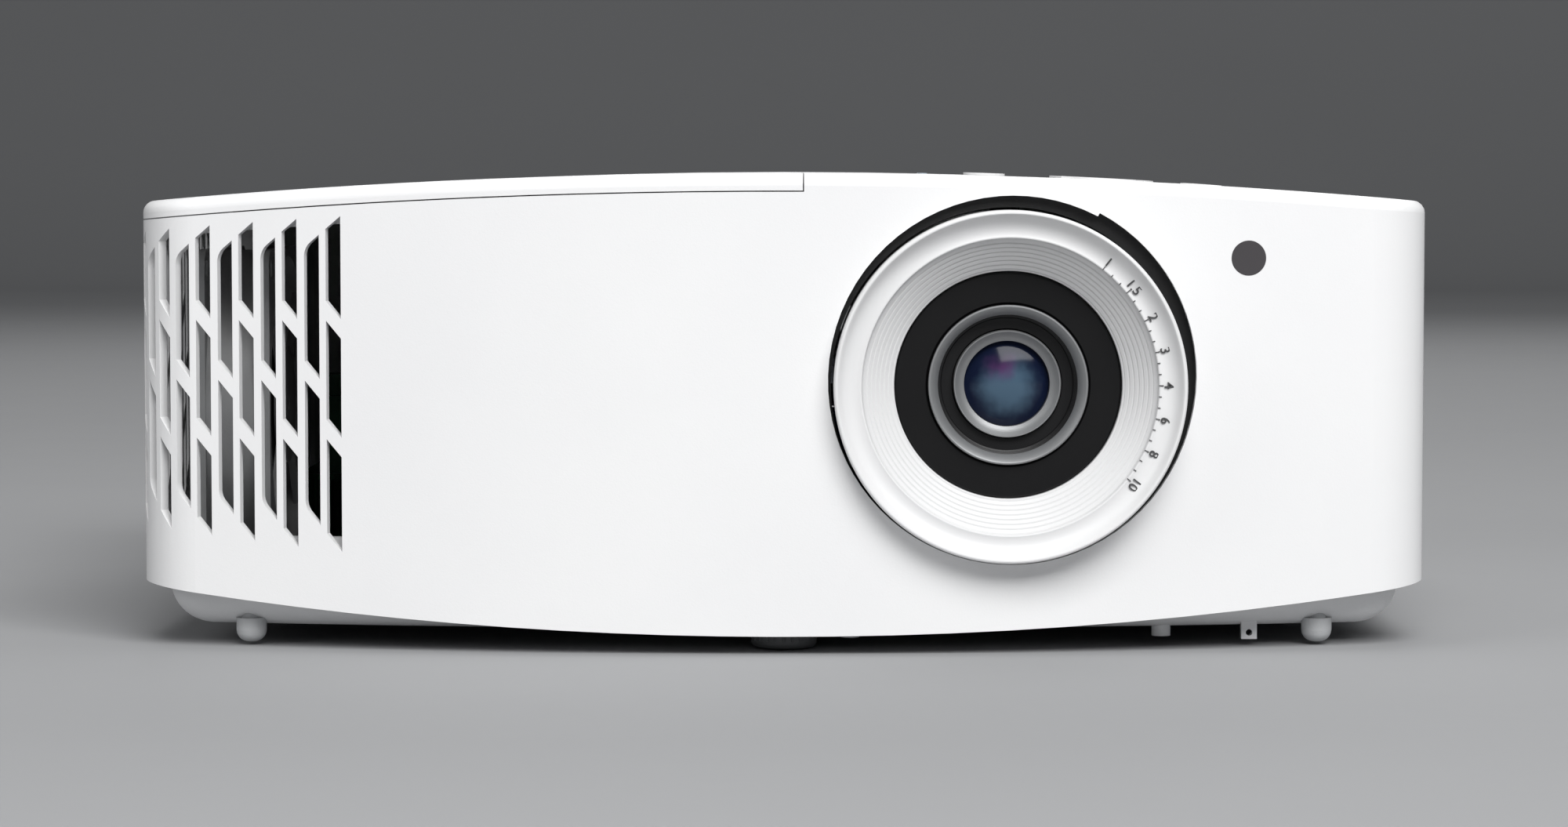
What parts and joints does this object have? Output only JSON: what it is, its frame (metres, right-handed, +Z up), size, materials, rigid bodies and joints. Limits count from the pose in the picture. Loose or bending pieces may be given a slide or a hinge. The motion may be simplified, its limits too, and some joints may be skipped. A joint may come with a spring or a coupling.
{
  "type": "home projector",
  "caption": "Low white projector with a bowed front, an offset lens with a focus ring, slotted corner vents, a lamp cover, top keys, rear sockets and adjustable feet.",
  "frame": {"origin": "on the table, under the middle of the bounding box", "axes": "+X to the right seen from the front, +Y to the back, +Z up; the lens looks along -Y"},
  "size_m": [0.315, 0.27, 0.1154],
  "materials": {
    "case_white": "fine satin, lightly grained",
    "base_grey": "satin",
    "panel_white": "satin",
    "ring_white": "semi gloss",
    "black_satin": "satin",
    "black_gloss": "gloss",
    "ring_metal": "satin anodised",
    "coated_glass": "violet and blue anti-reflection coating",
    "clear_glass": "clear",
    "filter_glass": "dichroic segments",
    "ir_plastic": "dark translucent",
    "foot_grey": "satin",
    "bumper_grey": "matt",
    "foot_thread": "satin",
    "steel": "zinc plated",
    "brass": "turned",
    "key_white": "satin",
    "board_green": "solder mask",
    "light_pipe": "frosted",
    "cast_alloy": "die cast",
    "fan_grey": "satin",
    "fan_black": "satin",
    "lamp_plastic": "heat proof, matt",
    "reflector": "cold mirror coating",
    "quartz": "clear quartz",
    "socket_metal": "tin plated",
    "socket_blue": "satin",
    "inlet_black": "satin",
    "jack_black": "satin"
  },
  "bodies": {
    "chassis": {"upper_shell": "case_white", "rear_panel": "panel_white", "base_tray": "base_grey", "case_screws": "steel", "lens_screws": "steel", "lamp_screws": "steel", "mount_inserts": "brass", "corner_bumpers": "bumper_grey", "ir_window": "ir_plastic", "lens_liner": "black_satin", "lens_tube": "black_gloss", "rear_glass": "clear_glass", "optical_engine": "cast_alloy", "engine_cover": "cast_alloy", "light_tunnel": "reflector", "relay_optics": "clear_glass", "dmd_board": "board_green", "wheel_motor": "cast_alloy", "lamp_housing": "lamp_plastic", "lamp_reflector": "reflector", "lamp_burner": "quartz", "blower_housing": "fan_black", "intake_fan_frame": "fan_grey", "exhaust_fan_frame": "fan_grey", "keypad_board": "board_green", "status_lights": "light_pipe", "ac_inlet": "inlet_black", "digital_sockets": "socket_metal", "vga_socket": "socket_blue", "audio_jacks": "jack_black", "main_board": "board_green", "power_supply": "board_green"},
    "focus_ring": {"focus_ring": "ring_white"},
    "front_group": {"front_barrel": "black_satin", "barrel_trim": "ring_metal", "lens_cell": "ring_metal", "front_glass": "coated_glass"},
    "zoom_ring": {"zoom_ring": "black_satin"},
    "zoom_group": {"zoom_cell": "black_satin", "zoom_glass": "clear_glass"},
    "lamp_cover": {"lamp_cover": "case_white", "cover_screw": "steel"},
    "color_wheel": {"wheel_rotor": "ring_metal", "wheel_filters": "filter_glass"},
    "blower_rotor": {"blower_rotor": "fan_black"},
    "intake_rotor": {"intake_rotor": "fan_black"},
    "exhaust_rotor": {"exhaust_rotor": "fan_black"},
    "key_power": {"key_power": "key_white"},
    "key_menu": {"key_menu": "key_white"},
    "key_enter": {"key_enter": "key_white"},
    "key_up": {"key_up": "key_white"},
    "key_down": {"key_down": "key_white"},
    "key_left": {"key_left": "key_white"},
    "key_right": {"key_right": "key_white"},
    "foot_stem_front": {"foot_stem_front": "foot_thread"},
    "foot_pad_front": {"foot_pad_front": "foot_grey"},
    "foot_stem_rear_left": {"foot_stem_rear_left": "foot_thread"},
    "foot_pad_rear_left": {"foot_pad_rear_left": "foot_grey"},
    "foot_stem_rear_right": {"foot_stem_rear_right": "foot_thread"},
    "foot_pad_rear_right": {"foot_pad_rear_right": "foot_grey"}
  },
  "joints": [
    {"name": "focus_turn", "type": "hinge", "parent": "chassis", "child": "focus_ring", "pos_m": [0.054, -0.12, 0.0644], "axis": [0, -1, 0], "range_deg": [-35, 35]},
    {"name": "focus_slide", "type": "slide", "parent": "chassis", "child": "front_group", "axis": [0, -1, 0], "range_m": [-0.0016, 0.0016]},
    {"name": "zoom_turn", "type": "hinge", "parent": "chassis", "child": "zoom_ring", "pos_m": [0.054, -0.1015, 0.0644], "axis": [0, -1, 0], "range_deg": [-14, 14]},
    {"name": "zoom_slide", "type": "slide", "parent": "chassis", "child": "zoom_group", "axis": [0, -1, 0], "range_m": [-0.003, 0.003]},
    {"name": "cover_lift", "type": "slide", "parent": "chassis", "child": "lamp_cover", "axis": [0, 0, 1], "range_m": [0, 0.06]},
    {"name": "wheel_spin", "type": "hinge", "parent": "chassis", "child": "color_wheel", "pos_m": [-0.008, 0.006, 0.08], "axis": [1, 0, 0], "continuous": true},
    {"name": "blower_spin", "type": "hinge", "parent": "chassis", "child": "blower_rotor", "pos_m": [-0.064, -0.064, 0.055], "axis": [0, 0, 1], "continuous": true},
    {"name": "intake_spin", "type": "hinge", "parent": "chassis", "child": "intake_rotor", "pos_m": [-0.1375, -0.052, 0.056], "axis": [1, 0, 0], "continuous": true},
    {"name": "exhaust_spin", "type": "hinge", "parent": "chassis", "child": "exhaust_rotor", "pos_m": [0.1375, -0.01, 0.056], "axis": [1, 0, 0], "continuous": true},
    {"name": "press_power", "type": "slide", "parent": "chassis", "child": "key_power", "axis": [0, 0, -1], "range_m": [0, 0.0008], "stiffness_N_per_m": 250, "springref_m": -0.002},
    {"name": "press_menu", "type": "slide", "parent": "chassis", "child": "key_menu", "axis": [0, 0, -1], "range_m": [0, 0.0008], "stiffness_N_per_m": 250, "springref_m": -0.002},
    {"name": "press_enter", "type": "slide", "parent": "chassis", "child": "key_enter", "axis": [0, 0, -1], "range_m": [0, 0.0008], "stiffness_N_per_m": 250, "springref_m": -0.002},
    {"name": "press_up", "type": "slide", "parent": "chassis", "child": "key_up", "axis": [0, 0, -1], "range_m": [0, 0.0008], "stiffness_N_per_m": 250, "springref_m": -0.002},
    {"name": "press_down", "type": "slide", "parent": "chassis", "child": "key_down", "axis": [0, 0, -1], "range_m": [0, 0.0008], "stiffness_N_per_m": 250, "springref_m": -0.002},
    {"name": "press_left", "type": "slide", "parent": "chassis", "child": "key_left", "axis": [0, 0, -1], "range_m": [0, 0.0008], "stiffness_N_per_m": 250, "springref_m": -0.002},
    {"name": "press_right", "type": "slide", "parent": "chassis", "child": "key_right", "axis": [0, 0, -1], "range_m": [0, 0.0008], "stiffness_N_per_m": 250, "springref_m": -0.002},
    {"name": "extend_front", "type": "slide", "parent": "chassis", "child": "foot_stem_front", "axis": [0, 0, -1], "range_m": [0, 0.012]},
    {"name": "turn_front", "type": "hinge", "parent": "foot_stem_front", "child": "foot_pad_front", "pos_m": [0, -0.112, 0.002], "axis": [0, 0, 1], "range_deg": [0, 2880]},
    {"name": "extend_rear_left", "type": "slide", "parent": "chassis", "child": "foot_stem_rear_left", "axis": [0, 0, -1], "range_m": [0, 0.012]},
    {"name": "turn_rear_left", "type": "hinge", "parent": "foot_stem_rear_left", "child": "foot_pad_rear_left", "pos_m": [-0.118, 0.103, 0.002], "axis": [0, 0, 1], "range_deg": [0, 2880]},
    {"name": "extend_rear_right", "type": "slide", "parent": "chassis", "child": "foot_stem_rear_right", "axis": [0, 0, -1], "range_m": [0, 0.012]},
    {"name": "turn_rear_right", "type": "hinge", "parent": "foot_stem_rear_right", "child": "foot_pad_rear_right", "pos_m": [0.118, 0.103, 0.002], "axis": [0, 0, 1], "range_deg": [0, 2880]}
  ],
  "couplings": [
    {"joint": "focus_slide", "follows": "focus_turn", "m_per_rad": 0.0025},
    {"joint": "zoom_slide", "follows": "zoom_turn", "m_per_rad": 0.012},
    {"joint": "turn_front", "follows": "extend_front", "rad_per_m": 4188.8},
    {"joint": "turn_rear_left", "follows": "extend_rear_left", "rad_per_m": 4188.8},
    {"joint": "turn_rear_right", "follows": "extend_rear_right", "rad_per_m": 4188.8}
  ]
}
